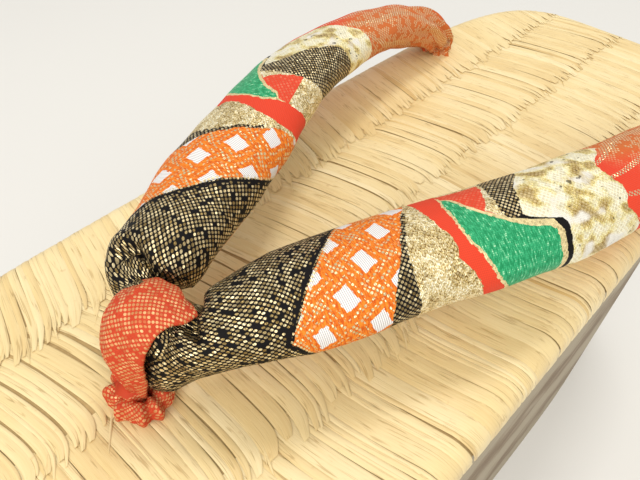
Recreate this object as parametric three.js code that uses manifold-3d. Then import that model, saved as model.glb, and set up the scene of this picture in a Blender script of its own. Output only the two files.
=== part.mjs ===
// Okobo: a tall wooden thong sandal with a woven top and a padded brocade thong.
// Millimetres. X runs across the sandal, -Y points to the toe, +Y to the heel, +Z up.
// The origin is on the ground, under the middle of the sandal.
import * as THREE from 'three';
import { mergeVertices } from 'three/addons/utils/BufferGeometryUtils.js';
import Module from 'manifold-3d';

const wasm = await Module();
wasm.setup();

// Driving sizes of the whole sandal
const LENGTH = 239;
const WIDTH = 86;
const HEIGHT = 100;
const WIDEST_Y = 18.5;
const OUTLINE_POWER = 4.3;
const OUTLINE_POINTS = 80;
const TOE_Y = -LENGTH / 2;
const HEEL_Y = LENGTH / 2;

// Woven top
const MAT_THICKNESS = 8;
const MAT_RIM_RADIUS = 4.5;
const MAT_TUCK = 1;
const MAT_RIM_STEPS = 4;

// Carved block
const BLOCK_TOP = HEIGHT - MAT_THICKNESS;
const BLOCK_INSET = 0.8;
const HEEL_LEAN = 5;
const SLOPE_START_Y = -28;
const SLOPE_TOE_Z = 70;
const HOLLOW_TOE_Y = -10;
const HOLLOW_HEEL_Y = 98;
const HOLLOW_HALF_WIDTH = 28;
const HOLLOW_TOP = 66;
const HOLLOW_TAPER = 6;
const HOLLOW_CORNER = 16;
const HOLLOW_CORNER_STEPS = 6;

// Thong bores
const FRONT_HOLE_Y = -56;
const FRONT_BORE_R = 4.5;
const FRONT_RECESS_R = 11.5;
const FRONT_RECESS_TOP = 70;
const REAR_HOLE = { x: 33.6, y: 69 };
const REAR_BORE_R = 4.2;
const REAR_BORE_LEAN = 15.5;
const CLEARANCE = 0.3;
const BORE_SIDES = 32;

// Padded strap: one row for each section of an arm, from the junction to the rear hole.
// y is counted back from the front hole, z up from the woven top; a and b are half the
// width and half the thickness, and tilt lowers the outer edge, in degrees.
const ARM_SECTIONS = [
  { x: 4.6, y: 0.2, z: 13.6, a: 0.8, b: 0.8, tilt: 0 },
  { x: 4.7, y: 0.7, z: 13.7, a: 2.8, b: 4, tilt: 0 },
  { x: 4.9, y: 2.2, z: 13.9, a: 4.8, b: 6, tilt: 0 },
  { x: 5.5, y: 5.2, z: 14.6, a: 6.5, b: 6.8, tilt: 0 },
  { x: 7.4, y: 9.2, z: 16, a: 7.2, b: 6.5, tilt: 4 },
  { x: 9.9, y: 14.8, z: 17, a: 8.1, b: 6.2, tilt: 6 },
  { x: 12.4, y: 21.6, z: 17.1, a: 9, b: 6, tilt: 6 },
  { x: 16.5, y: 31.2, z: 17.5, a: 9.4, b: 5.9, tilt: 3 },
  { x: 20.8, y: 41.8, z: 18, a: 9.3, b: 5.8, tilt: 3 },
  { x: 25.7, y: 53, z: 18.1, a: 9.2, b: 5.7, tilt: 7 },
  { x: 30.6, y: 66, z: 17.7, a: 9.1, b: 5.6, tilt: 14 },
  { x: 34.5, y: 82, z: 16.2, a: 8.8, b: 5.4, tilt: 15 },
  { x: 36.5, y: 96, z: 14.4, a: 8.5, b: 5.2, tilt: 15 },
  { x: 36.9, y: 107.5, z: 11.8, a: 8, b: 5.1, tilt: 12 },
  { x: 36.3, y: 117, z: 8.6, a: 7.1, b: 4.8, tilt: 8 },
  { x: 35.1, y: 122.6, z: 5.4, a: 6, b: 4.4, tilt: 0 },
  { x: 34.2, y: 124.8, z: 2.6, a: 4.5, b: 4, tilt: 0 },
  { x: 33.7, y: 125, z: 0.2, a: 3.6, b: 3.6, tilt: 0 },
  { x: 32.5, y: 125, z: -2.5, a: 3.5, b: 3.5, tilt: 0 },
  { x: 29.4, y: 125, z: -10, a: 3.4, b: 3.4, tilt: 0 },
];
const ARM_SIDES = 20;
const ARM_STEPS_PER_ROW = 2;

// The folded cloth that joins the two arms, as the half axes of an ellipsoid
const JUNCTION = { x: 8.2, y: 5.3, z: 7.2 };
// The left arm's front end is folded back a little; this fades out over a few rows
const LEFT_SETBACK = 3;
const LEFT_SETBACK_ROWS = 6;

// Front loop: the ring round the junction, in the sandal's middle plane
const LOOP_CENTRE = { y: 6.2, z: 14.2 };
const LOOP_OUTER = { y: 7.4, z: 9.4 };
const LOOP_WALL = 1.7;
const LOOP_HALF_WIDTH = { top: 4.8, front: 3.9, crotch: 1.6, base: 2.4 };
const LOOP_RING_SIDES = 12;
const LOOP_RING_STEPS = 40;
const STEM_TOP_Z = 6.5;
const STEM_BOTTOM_Z = -12;
const STEM_R = 2.6;

// Ruffle round the foot of the loop
const RUFFLE_R = 3.9;
const RUFFLE_HALF_HEIGHT = 2.3;
const RUFFLE_LOBES = 5;
const RUFFLE_LOBE_DEPTH = 0.7;
const RUFFLE_RING_SIDES = 10;
const RUFFLE_RING_STEPS = 50;

// Knots under the block
const FRONT_KNOT_R = 7.5;
const REAR_KNOT_R = 6;
const KNOT_CORD_R = 3;
const KNOT_CORD_LENGTH = 12;
const KNOT_SIDES = 16;
const KNOT_ROWS = 8;

// Materials
const wood = new THREE.MeshStandardMaterial({ color: 0xcdbb98, roughness: 0.7, metalness: 0 });
const sheath = new THREE.MeshStandardMaterial({ color: 0xe2ca93, roughness: 0.55, metalness: 0 });
const brocade = new THREE.MeshStandardMaterial({ color: 0xb08a3c, roughness: 0.5, metalness: 0 });
const redCloth = new THREE.MeshStandardMaterial({ color: 0xd8452c, roughness: 0.6, metalness: 0 });
const cord = new THREE.MeshStandardMaterial({ color: 0xe8e0cf, roughness: 0.8, metalness: 0 });

// A closed geometry as a solid, for joins and cuts
function toSolid(geometry) {
  const bare = geometry.clone();
  bare.deleteAttribute('normal');
  bare.deleteAttribute('uv');
  const merged = mergeVertices(bare, 1e-4);
  return new wasm.Manifold(new wasm.Mesh({
    numProp: 3,
    vertProperties: new Float32Array(merged.attributes.position.array),
    triVerts: new Uint32Array(merged.index.array),
  }));
}

function toGeometry(solid) {
  const mesh = solid.getMesh();
  const geometry = new THREE.BufferGeometry();
  geometry.setAttribute('position', new THREE.BufferAttribute(mesh.vertProperties, 3));
  geometry.setIndex(new THREE.BufferAttribute(mesh.triVerts, 1));
  geometry.computeVertexNormals();
  return geometry;
}

// Moves every vertex of a geometry to the place that a function gives for it
function remap(geometry, place) {
  const position = geometry.attributes.position;
  const point = new THREE.Vector3();
  for (let i = 0; i < position.count; i += 1) {
    point.fromBufferAttribute(position, i);
    place(point);
    position.setXYZ(i, point.x, point.y, point.z);
  }
  return geometry;
}

// The sandal's outline seen from above, drawn in by an inset
function outlinePoints(inset) {
  const points = [];
  for (let i = 0; i < OUTLINE_POINTS; i += 1) {
    const angle = (2 * Math.PI * i) / OUTLINE_POINTS;
    const c = Math.cos(angle);
    const s = Math.sin(angle);
    const reach = (s > 0 ? HEEL_Y - WIDEST_Y : WIDEST_Y - TOE_Y) - inset;
    points.push(new THREE.Vector2(
      Math.sign(c) * Math.abs(c) ** (2 / OUTLINE_POWER) * (WIDTH / 2 - inset),
      WIDEST_Y + Math.sign(s) * Math.abs(s) ** (2 / OUTLINE_POWER) * reach,
    ));
  }
  return points;
}

// A prism standing on a flat outline, from one height to another
function prism(points, bottom, top, steps = 1) {
  const geometry = new THREE.ExtrudeGeometry(new THREE.Shape(points), {
    depth: top - bottom,
    steps,
    bevelEnabled: false,
  });
  return geometry.translate(0, 0, bottom);
}

// A bore between two points, long enough to break through at both
function bore(from, to, radius) {
  const axis = new THREE.Vector3().subVectors(to, from);
  const geometry = new THREE.CylinderGeometry(radius, radius, axis.length(), BORE_SIDES);
  const turn = new THREE.Quaternion().setFromUnitVectors(
    new THREE.Vector3(0, 1, 0), axis.clone().normalize());
  geometry.applyQuaternion(turn);
  const middle = new THREE.Vector3().addVectors(from, to).multiplyScalar(0.5);
  return toSolid(geometry.translate(middle.x, middle.y, middle.z));
}

// The axis of a rear bore leans in toward the middle on its way down
function rearBore(side, radius) {
  const drop = HEIGHT - HOLLOW_TOP;
  const over = 4;
  const slope = REAR_BORE_LEAN / drop;
  return bore(
    new THREE.Vector3(side * (REAR_HOLE.x + slope * over), REAR_HOLE.y, HEIGHT + over),
    new THREE.Vector3(side * (REAR_HOLE.x - REAR_BORE_LEAN - slope * over), REAR_HOLE.y,
      HOLLOW_TOP - over),
    radius,
  );
}

function frontBore(bottom, radius) {
  const over = 4;
  return bore(
    new THREE.Vector3(0, FRONT_HOLE_Y, HEIGHT + over),
    new THREE.Vector3(0, FRONT_HOLE_Y, bottom),
    radius,
  );
}

function woodBody() {
  const block = remap(prism(outlinePoints(BLOCK_INSET), 0, BLOCK_TOP, 2), (p) => {
    const back = Math.max(0, (p.y - WIDEST_Y) / (HEEL_Y - WIDEST_Y));
    p.y -= HEEL_LEAN * back * (1 - p.z / BLOCK_TOP);
  });
  const below = 20;
  const wedge = new THREE.ExtrudeGeometry(new THREE.Shape([
    new THREE.Vector2(SLOPE_START_Y, 0),
    new THREE.Vector2(SLOPE_START_Y, -below),
    new THREE.Vector2(TOE_Y - below, -below),
    new THREE.Vector2(TOE_Y - below,
      SLOPE_TOE_Z * (SLOPE_START_Y - TOE_Y + below) / (SLOPE_START_Y - TOE_Y)),
  ]), { depth: WIDTH * 2, bevelEnabled: false });
  wedge.translate(0, 0, -WIDTH);
  remap(wedge, (p) => p.set(p.z, p.x, p.y));
  return toGeometry(toSolid(block)
    .subtract(toSolid(wedge))
    .subtract(toSolid(hollow()))
    .subtract(frontBore(0, FRONT_BORE_R))
    .subtract(recess())
    .subtract(rearBore(1, REAR_BORE_R))
    .subtract(rearBore(-1, REAR_BORE_R)));
}

// The hollow narrows a little on its way up
function hollow() {
  const shape = new THREE.Shape();
  const x = HOLLOW_HALF_WIDTH;
  const r = HOLLOW_CORNER;
  shape.moveTo(x, HOLLOW_TOE_Y + r);
  shape.lineTo(x, HOLLOW_HEEL_Y - r);
  shape.absarc(x - r, HOLLOW_HEEL_Y - r, r, 0, Math.PI / 2);
  shape.absarc(r - x, HOLLOW_HEEL_Y - r, r, Math.PI / 2, Math.PI);
  shape.absarc(r - x, HOLLOW_TOE_Y + r, r, Math.PI, Math.PI * 1.5);
  shape.absarc(x - r, HOLLOW_TOE_Y + r, r, Math.PI * 1.5, Math.PI * 2);
  const below = 1;
  const middle = (HOLLOW_TOE_Y + HOLLOW_HEEL_Y) / 2;
  const geometry = new THREE.ExtrudeGeometry(shape, {
    depth: HOLLOW_TOP + below,
    curveSegments: HOLLOW_CORNER_STEPS,
    bevelEnabled: false,
  });
  geometry.translate(0, 0, -below);
  return remap(geometry, (p) => {
    const shrink = HOLLOW_TAPER * Math.max(0, p.z / HOLLOW_TOP);
    p.x *= 1 - shrink / x / 2;
    p.y = middle + (p.y - middle) * (1 - shrink / (HOLLOW_HEEL_Y - middle));
  });
}

function recess() {
  const below = 10;
  const geometry = new THREE.CylinderGeometry(
    FRONT_RECESS_R, FRONT_RECESS_R, FRONT_RECESS_TOP + below, BORE_SIDES);
  geometry.rotateX(Math.PI / 2);
  return toSolid(geometry.translate(0, FRONT_HOLE_Y, (FRONT_RECESS_TOP - below) / 2));
}

// A slab whose upper edge is a quarter round and whose lower edge tucks in a little
function wovenTop() {
  const steps = MAT_RIM_STEPS + 2;
  const slab = remap(prism(outlinePoints(0), 0, steps, steps), (p) => {
    const level = Math.round(p.z);
    let inset = MAT_TUCK;
    let z = 0;
    if (level === 1) {
      inset = 0;
      z = MAT_THICKNESS - MAT_RIM_RADIUS - MAT_TUCK;
    }
    if (level > 1) {
      const angle = (Math.PI / 2) * (level - 2) / MAT_RIM_STEPS;
      inset = MAT_RIM_RADIUS * (1 - Math.cos(angle));
      z = MAT_THICKNESS - MAT_RIM_RADIUS * (1 - Math.sin(angle));
    }
    const reach = p.y > WIDEST_Y ? HEEL_Y - WIDEST_Y : WIDEST_Y - TOE_Y;
    p.x *= 1 - inset / (WIDTH / 2);
    p.y = WIDEST_Y + (p.y - WIDEST_Y) * (1 - inset / reach);
    p.z = BLOCK_TOP + z;
  });
  return toGeometry(toSolid(slab)
    .subtract(frontBore(BLOCK_TOP - 1, FRONT_BORE_R))
    .subtract(rearBore(1, REAR_BORE_R))
    .subtract(rearBore(-1, REAR_BORE_R)));
}

// One arm of the strap, its sections grown by a margin
function armSolid(side, grow) {
  const rows = ARM_SECTIONS;
  const path = new THREE.CatmullRomCurve3(rows.map((row) => new THREE.Vector3(
    row.x, FRONT_HOLE_Y + row.y, HEIGHT + row.z)), false, 'centripetal');
  const steps = (rows.length - 1) * ARM_STEPS_PER_ROW;
  const tube = new THREE.CylinderGeometry(1, 1, 1, ARM_SIDES, steps);
  const across = new THREE.Vector3();
  const over = new THREE.Vector3();
  remap(tube, (p) => {
    const t = Math.min(1, Math.max(0, p.y + 0.5));
    const place = t * (rows.length - 1);
    const row = Math.min(rows.length - 2, Math.floor(place));
    const mix = (key) => THREE.MathUtils.lerp(rows[row][key], rows[row + 1][key], place - row);
    const centre = path.getPoint(t);
    centre.y -= grow * Math.max(0, 1 - place);
    if (side < 0) centre.y += LEFT_SETBACK * Math.max(0, 1 - place / LEFT_SETBACK_ROWS);
    const along = path.getTangent(t);
    across.crossVectors(along, new THREE.Vector3(0, 0, 1));
    if (across.length() < 0.5) across.set(1, 0, 0).addScaledVector(along, -along.x);
    across.normalize();
    over.crossVectors(across, along).normalize();
    across.applyAxisAngle(along, THREE.MathUtils.degToRad(mix('tilt')));
    over.applyAxisAngle(along, THREE.MathUtils.degToRad(mix('tilt')));
    const a = p.x * (mix('a') + grow);
    const b = p.z * (mix('b') + grow) * side;
    p.copy(centre).addScaledVector(across, a).addScaledVector(over, b);
    p.x *= side;
  });
  return toSolid(tube);
}

function strapSolid(grow) {
  const junction = new THREE.SphereGeometry(1, 20, 12);
  junction.scale(JUNCTION.x + grow, JUNCTION.y + grow, JUNCTION.z + grow);
  junction.translate(0, FRONT_HOLE_Y + LOOP_CENTRE.y, HEIGHT + LOOP_CENTRE.z);
  return armSolid(1, grow).add(armSolid(-1, grow)).add(toSolid(junction));
}

// The loop, grown by a margin: widest over the top and narrow at its foot and in the crotch
function loopSolid(grow) {
  const ring = new THREE.TorusGeometry(1, 0.5, LOOP_RING_SIDES, LOOP_RING_STEPS);
  remap(ring, (p) => {
    const turn = Math.atan2(p.y, p.x);
    const out = (Math.hypot(p.x, p.y) - 1) * 2;
    const up = Math.sin(turn);
    const back = Math.cos(turn);
    const widths = LOOP_HALF_WIDTH;
    const high = Math.max(0, up) ** 2 * widths.top;
    const low = Math.max(0, -up) ** 2 * widths.base;
    const level = back ** 2 * (back > 0 ? widths.crotch : widths.front);
    const half = high + low + level + grow;
    const radius = (outer) => outer - LOOP_WALL / 2 + out * (LOOP_WALL / 2 + grow);
    p.set(
      p.z * 2 * half,
      FRONT_HOLE_Y + LOOP_CENTRE.y + back * radius(LOOP_OUTER.y),
      HEIGHT + LOOP_CENTRE.z + up * radius(LOOP_OUTER.z),
    );
  });
  const stem = new THREE.CylinderGeometry(LOOP_HALF_WIDTH.base + grow, STEM_R + grow,
    STEM_TOP_Z - STEM_BOTTOM_Z, 20);
  stem.rotateX(Math.PI / 2);
  stem.translate(0, FRONT_HOLE_Y, HEIGHT + (STEM_TOP_Z + STEM_BOTTOM_Z) / 2);
  return toSolid(ring).add(toSolid(stem)).subtract(strapSolid(CLEARANCE));
}

// A lobed collar lying on the woven top
function loopRuffle() {
  const ring = new THREE.TorusGeometry(1, 0.5, RUFFLE_RING_SIDES, RUFFLE_RING_STEPS);
  remap(ring, (p) => {
    const turn = Math.atan2(p.y, p.x);
    const out = (Math.hypot(p.x, p.y) - 1) * 2;
    const lobe = RUFFLE_LOBE_DEPTH * Math.cos(RUFFLE_LOBES * turn);
    const wall = RUFFLE_R - STEM_R - CLEARANCE;
    const radius = RUFFLE_R + lobe * (1 + out) / 2 + out * wall;
    p.set(
      Math.cos(turn) * radius,
      FRONT_HOLE_Y + Math.sin(turn) * radius,
      HEIGHT + CLEARANCE + RUFFLE_HALF_HEIGHT * (1 + p.z * 2),
    );
  });
  return toGeometry(toSolid(ring).subtract(loopSolid(CLEARANCE)));
}

// A round knot drawn up into the mouth of a bore, with its cord standing up in it;
// lean is how far the cord moves across for each millimetre that it rises
function knot(radius, boreRadius, ceiling, lean) {
  const seatDepth = Math.sqrt((radius + CLEARANCE) ** 2 - boreRadius ** 2);
  const points = [new THREE.Vector2(0, -radius)];
  const cordMeets = Math.asin(KNOT_CORD_R / radius);
  for (let i = 1; i <= KNOT_ROWS; i += 1) {
    const angle = Math.PI - ((Math.PI - cordMeets) * i) / KNOT_ROWS;
    points.push(new THREE.Vector2(radius * Math.sin(angle), radius * Math.cos(angle)));
  }
  points.push(new THREE.Vector2(KNOT_CORD_R, radius + KNOT_CORD_LENGTH));
  points.push(new THREE.Vector2(0, radius + KNOT_CORD_LENGTH));
  const geometry = new THREE.LatheGeometry(points, KNOT_SIDES);
  geometry.rotateX(Math.PI / 2);
  geometry.translate(0, 0, ceiling - seatDepth);
  return remap(geometry, (p) => {
    p.x += lean * Math.max(0, p.z - ceiling);
  });
}

const sandal = new THREE.Group();

function addPiece(name, geometry, material) {
  const mesh = new THREE.Mesh(geometry, material);
  mesh.name = name;
  sandal.add(mesh);
  return mesh;
}

addPiece('wood_body', woodBody(), wood);
addPiece('woven_top', wovenTop(), sheath);
addPiece('thong_strap', toGeometry(strapSolid(0)), brocade);
addPiece('front_loop', toGeometry(loopSolid(0)), redCloth);
addPiece('loop_ruffle', loopRuffle(), redCloth);
addPiece('front_knot', knot(FRONT_KNOT_R, FRONT_BORE_R, FRONT_RECESS_TOP, 0), cord)
  .position.set(0, FRONT_HOLE_Y, 0);
for (const [name, side] of [['rear_knot_right', 1], ['rear_knot_left', -1]]) {
  const lean = (side * REAR_BORE_LEAN) / (HEIGHT - HOLLOW_TOP);
  addPiece(name, knot(REAR_KNOT_R, REAR_BORE_R, HOLLOW_TOP, lean), cord)
    .position.set(side * (REAR_HOLE.x - REAR_BORE_LEAN), REAR_HOLE.y, 0);
}

export default sandal;
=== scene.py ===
import math

import bmesh
import bpy
import numpy as np
from mathutils import Matrix, Vector


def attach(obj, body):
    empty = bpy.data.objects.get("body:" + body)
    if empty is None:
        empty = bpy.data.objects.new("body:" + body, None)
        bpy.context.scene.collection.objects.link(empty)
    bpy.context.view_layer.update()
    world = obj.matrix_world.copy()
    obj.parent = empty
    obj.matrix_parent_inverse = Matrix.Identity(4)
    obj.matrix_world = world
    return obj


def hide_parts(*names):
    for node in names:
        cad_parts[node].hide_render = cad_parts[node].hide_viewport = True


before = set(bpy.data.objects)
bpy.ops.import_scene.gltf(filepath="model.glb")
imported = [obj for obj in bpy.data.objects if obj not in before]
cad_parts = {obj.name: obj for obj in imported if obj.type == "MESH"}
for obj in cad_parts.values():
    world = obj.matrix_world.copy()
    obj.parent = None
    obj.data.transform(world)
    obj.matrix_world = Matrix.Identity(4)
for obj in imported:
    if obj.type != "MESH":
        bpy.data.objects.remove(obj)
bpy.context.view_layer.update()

MM = 0.001
rng = np.random.default_rng(20)

# Sizes of the sandal, in millimetres; x runs across it, y from toe to heel and z up
HALF_WIDTH = 43.0
WIDEST_Y = 18.5
HEEL_REACH = 101.0
TOE_REACH = 138.0
OUTLINE_POWER = 4.3
TOP = 100.0
BLOCK_TOP = 92.0
RIM_R = 4.5
HOLE_Y = -56.0
REAR_HOLE = (33.6, 69.0)
FRONT_BORE_R = 4.5
REAR_BORE_R = 4.2
RECESS_R = 11.5
RECESS_TOP = 70.0
# The rear bores lean in by this much for each drop of that much
BORE_SHIFT = 15.5
BORE_DROP = 34.0
# The toe slope starts at this y on the ground, and rises by so much over so long a run
SLOPE_Y = -28.0
SLOPE_RISE = 70.0
SLOPE_RUN = 91.5
HEEL_LEAN = 5.0


# Helpers
def piece(name, points, faces, material, uv=None):
    """A smooth mesh on the root body, from points in millimetres and its loops' chart."""
    mesh = bpy.data.meshes.new(name)
    mesh.from_pydata((np.asarray(points, float) * MM).tolist(), [], faces)
    if uv is not None:
        layer = mesh.uv_layers.new(name="chart")
        layer.data.foreach_set("uv", np.asarray(uv, np.float32).ravel())
    mesh.validate()
    mesh.shade_smooth()
    mesh.materials.append(material)
    obj = bpy.data.objects.new(name, mesh)
    bpy.context.scene.collection.objects.link(obj)
    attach(obj, "root")
    return obj


def grid_faces(rows, cols, closed=False, flip=False):
    """Quads over a grid of points, row by row, and the loops' (row, column) places."""
    faces, places = [], []
    last = cols if closed else cols - 1
    for i in range(rows - 1):
        for j in range(last):
            k = (j + 1) % cols
            quad = [i * cols + j, i * cols + k, (i + 1) * cols + k, (i + 1) * cols + j]
            spot = [(i, j), (i, j + 1), (i + 1, j + 1), (i + 1, j)]
            if flip:
                quad.reverse()
                spot.reverse()
            faces.append(quad)
            places.extend(spot)
    return faces, places


def smooth_noise(seed, *coords):
    """Soft noise from a few seeded waves, about -1 to 1."""
    waves, pitch, height = 6, 1.9, 3.2
    r = np.random.default_rng(seed)
    total = 0.0
    for _ in range(waves):
        k = r.normal(size=len(coords))
        total = total + np.sin(sum(a * c for a, c in zip(k, coords)) * pitch + r.uniform(0, 6.28))
    return total / height


def ease(x):
    """A soft step from 0 to 1."""
    x = np.clip(x, 0, 1)
    return x * x * (3 - 2 * x)


def bell(offset, spread):
    """1 where offset is 0, falling off on both sides."""
    return np.exp(-(offset / spread) ** 2)


def arc_length(line):
    """Length along the line at each of its points."""
    return np.concatenate([[0], np.cumsum(np.linalg.norm(np.diff(line, axis=0), axis=1))])


def unit(vectors):
    return vectors / np.linalg.norm(vectors, axis=-1, keepdims=True)


def caps(rows, cols):
    """The two end faces of a closed grid."""
    return [list(range(cols))[::-1], [(rows - 1) * cols + k for k in range(cols)]]


def outline(n, inset=0.0):
    """Points of the sandal's rounded outline in plan, moved in by inset."""
    t = np.arange(n) * 2 * np.pi / n
    c, s = np.cos(t), np.sin(t)
    reach = np.where(s > 0, HEEL_REACH, TOE_REACH) - inset
    e = 2 / OUTLINE_POWER
    return np.stack(
        [
            np.sign(c) * abs(c) ** e * (HALF_WIDTH - inset),
            WIDEST_Y + np.sign(s) * abs(s) ** e * reach,
        ],
        1,
    )


def evened(points, n):
    """The closed outline again, with n evenly spaced points."""
    loop = np.vstack([points, points[:1]])
    s = arc_length(loop)
    t = np.linspace(0, s[-1], n, endpoint=False)
    return np.stack([np.interp(t, s, loop[:, 0]), np.interp(t, s, loop[:, 1])], 1)


# Material building
class Nodes:
    """A material and short names for the shader nodes it is made of."""

    def __init__(self, name):
        self.material = bpy.data.materials.new(name)
        self.material.use_nodes = True
        self.tree = self.material.node_tree
        self.bsdf = self.tree.nodes["Principled BSDF"]

    def _in(self, socket, value):
        if isinstance(value, bpy.types.NodeSocket):
            self.tree.links.new(value, socket)
        elif value is not None:
            socket.default_value = value

    def put(self, name, value):
        self._in(self.bsdf.inputs[name], value)

    def node(self, kind, **props):
        n = self.tree.nodes.new(kind)
        for k, v in props.items():
            setattr(n, k, v)
        return n

    def math(self, op, a, b=None, c=None):
        n = self.node("ShaderNodeMath", operation=op)
        for i, v in enumerate((a, b, c)):
            self._in(n.inputs[i], v)
        return n.outputs[0]

    def add(self, a, b):
        return self.math("ADD", a, b)

    def mul(self, a, b):
        return self.math("MULTIPLY", a, b)

    def sub(self, a, b):
        return self.math("SUBTRACT", a, b)

    def most(self, a, b):
        return self.math("MAXIMUM", a, b)

    def over(self, a, limit):
        return self.math("GREATER_THAN", a, limit)

    def under(self, a, limit):
        return self.math("LESS_THAN", a, limit)

    def wave(self, a):
        return self.math("SINE", a)

    def size(self, a):
        return self.math("ABSOLUTE", a)

    def range(self, a, low, high, to0=0.0, to1=1.0, shape="LINEAR"):
        n = self.node("ShaderNodeMapRange", interpolation_type=shape)
        for i, v in enumerate((a, low, high, to0, to1)):
            self._in(n.inputs[i], v)
        return n.outputs[0]

    def step(self, *limits):
        return self.range(*limits, shape="SMOOTHSTEP")

    def scale(self, vector, amount):
        n = self.node("ShaderNodeVectorMath", operation="SCALE")
        self._in(n.inputs[0], vector)
        self._in(n.inputs["Scale"], amount)
        return n.outputs[0]

    def mix(self, fac, a, b):
        n = self.node("ShaderNodeMix", data_type="RGBA")
        self._in(n.inputs[0], fac)
        for i, v in ((6, a), (7, b)):
            self._in(n.inputs[i], v if isinstance(v, bpy.types.NodeSocket) else (*v, 1.0))
        return n.outputs[2]

    def xyz(self, x, y, z=0.0):
        n = self.node("ShaderNodeCombineXYZ")
        for i, v in enumerate((x, y, z)):
            self._in(n.inputs[i], v)
        return n.outputs[0]

    def split(self, v):
        n = self.node("ShaderNodeSeparateXYZ")
        self._in(n.inputs[0], v)
        return n.outputs

    def chart(self, layer="chart"):
        """The coordinates that the mesh carries in the layer."""
        n = self.node("ShaderNodeUVMap", uv_map=layer)
        return self.split(n.outputs[0])

    def place(self):
        """Object coordinates in millimetres."""
        return self.scale(self.node("ShaderNodeTexCoord").outputs["Object"], 1 / MM)

    def noise(self, vector, scale, detail, rough=0.5):
        n = self.node("ShaderNodeTexNoise")
        self._in(n.inputs["Vector"], vector)
        n.inputs["Scale"].default_value = scale
        n.inputs["Detail"].default_value = detail
        n.inputs["Roughness"].default_value = rough
        return n.outputs[0]

    def streaks(self, coords, scales, detail, rough=0.5):
        """Noise with a scale of its own along each coordinate."""
        place = self.xyz(*(self.mul(c, k) for c, k in zip(coords, scales)))
        return self.noise(place, 1.0, detail, rough)

    def white(self, vector):
        n = self.node("ShaderNodeTexWhiteNoise")
        self._in(n.inputs["Vector"], vector)
        return n.outputs

    def ramp(self, fac, stops, steps=False):
        n = self.node("ShaderNodeValToRGB")
        n.color_ramp.interpolation = "CONSTANT" if steps else "LINEAR"
        elements = n.color_ramp.elements
        while len(elements) < len(stops):
            elements.new(0.5)
        for e, (at, colour) in zip(elements, stops):
            e.position = at
            e.color = (*colour, 1.0)
        self._in(n.inputs[0], fac)
        return n.outputs[0]

    def curve(self, value, points, low, high, size):
        """A drawn curve from points (x, y); x runs from low to high and y from 0 to size."""
        n = self.node("ShaderNodeFloatCurve")
        n.mapping.use_clip = True
        line = n.mapping.curves[0]
        spots = [((x - low) / (high - low), y / size) for x, y in points]
        while len(line.points) < len(spots):
            line.points.new(0.5, 0.5)
        for p, spot in zip(line.points, spots):
            p.location = spot
            p.handle_type = "VECTOR"
        n.mapping.update()
        self._in(n.inputs[1], self.range(value, low, high))
        return self.mul(n.outputs[0], size)

    def bump(self, height, strength, distance):
        n = self.node("ShaderNodeBump")
        n.inputs["Strength"].default_value = strength
        n.inputs["Distance"].default_value = distance
        self._in(n.inputs["Height"], height)
        return n.outputs[0]


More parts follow.
